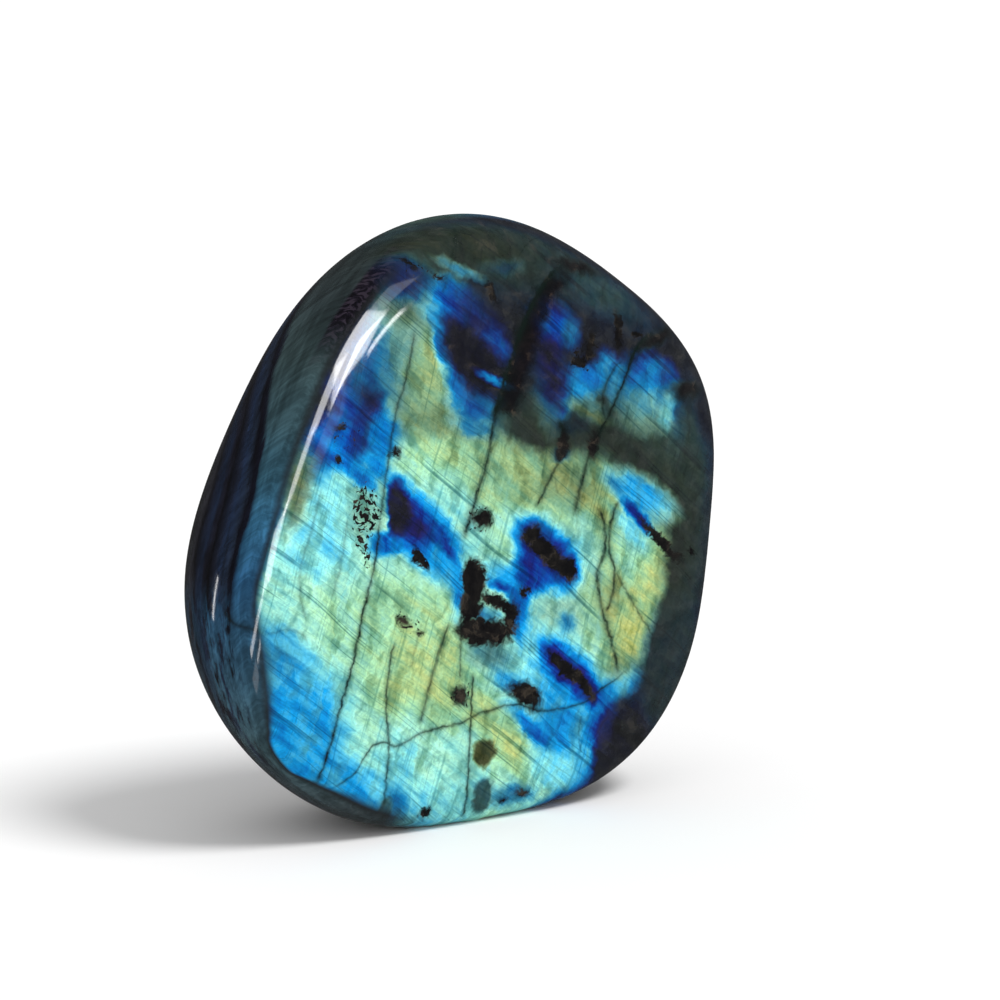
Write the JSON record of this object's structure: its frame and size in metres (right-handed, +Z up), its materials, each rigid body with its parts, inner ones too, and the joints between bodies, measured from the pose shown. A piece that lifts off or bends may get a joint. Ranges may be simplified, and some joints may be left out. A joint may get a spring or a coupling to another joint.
{
  "type": "polished labradorite freeform stone",
  "caption": "Rounded slab of dark feldspar with blue, green and gold flash, polished all over and standing on its sawn flat base.",
  "frame": {"origin": "middle of the sawn flat base that the stone stands on", "axes": "+Z up from the base, +X to the right along the broad front face, and the broad front face looks along -Y"},
  "size_m": [0.111, 0.0397, 0.1167],
  "materials": {
    "stone": "polished"
  },
  "bodies": {
    "root": {"labradorite_stone": "stone"}
  },
  "joints": []
}
